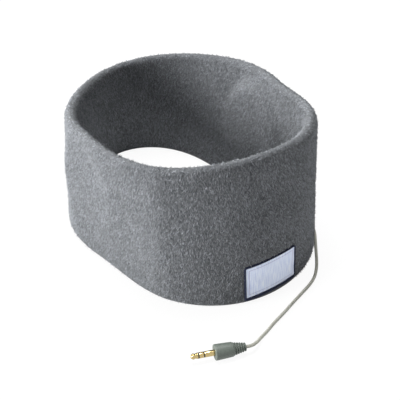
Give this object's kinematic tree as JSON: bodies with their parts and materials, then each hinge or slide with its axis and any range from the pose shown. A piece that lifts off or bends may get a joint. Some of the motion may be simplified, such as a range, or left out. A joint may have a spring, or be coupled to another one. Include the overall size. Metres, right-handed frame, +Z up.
{
  "type": "sleep headphones",
  "caption": "Soft fleece headband with flat speakers sewn inside, a satin label at the back and a thin cord that ends in a stereo plug.",
  "frame": {"origin": "on the table under the middle of the fleece band's box", "axes": "+Y towards the wearer's forehead, -Y towards the back of the head and the label, +Z up"},
  "size_m": [0.1867, 0.2301, 0.097],
  "materials": {
    "fleece": "short-pile fleece",
    "satin": "satin weave",
    "overlock_thread": "overlocked thread",
    "hook_tape": "woven nylon hooks",
    "loop_tape": "brushed nylon loops",
    "foam": "open-cell foam",
    "white_plastic": "moulded",
    "circuit_board": "coated board",
    "black_plastic": "moulded",
    "plated_steel": "nickel plated",
    "magnet": "nickel plated",
    "copper_wire": "enamelled winding",
    "clear_film": "thin film",
    "felt": "pressed felt",
    "cord_jacket": "soft jacket",
    "grip_plastic": "moulded",
    "gold_plating": "gold plated"
  },
  "bodies": {
    "root": {"fleece_band": "fleece", "label": "satin", "label_edge": "overlock_thread", "hook_tape": "hook_tape", "loop_tape": "loop_tape", "left_foam_back": "foam", "left_case_tray": "white_plastic", "left_terminal_board": "circuit_board", "left_driver_frame": "black_plastic", "left_steel_cup": "plated_steel", "left_magnet": "magnet", "left_pole_plate": "plated_steel", "left_voice_coil": "copper_wire", "left_diaphragm": "clear_film", "left_felt_ring": "felt", "left_grille": "plated_steel", "left_foam_front": "foam", "right_foam_back": "foam", "right_case_tray": "white_plastic", "right_terminal_board": "circuit_board", "right_driver_frame": "black_plastic", "right_steel_cup": "plated_steel", "right_magnet": "magnet", "right_pole_plate": "plated_steel", "right_voice_coil": "copper_wire", "right_diaphragm": "clear_film", "right_felt_ring": "felt", "right_grille": "plated_steel", "right_foam_front": "foam", "left_lead": "cord_jacket", "right_lead": "cord_jacket", "split_block": "grip_plastic", "cord_exit_run": "cord_jacket", "cord_floor_run": "cord_jacket", "cord_coil": "cord_jacket", "cord_outer_run": "cord_jacket", "plug_grip": "grip_plastic", "plug_sleeve": "gold_plating", "plug_outer_insulator": "black_plastic", "plug_ring": "gold_plating", "plug_inner_insulator": "black_plastic", "plug_tip": "gold_plating"}
  },
  "joints": []
}
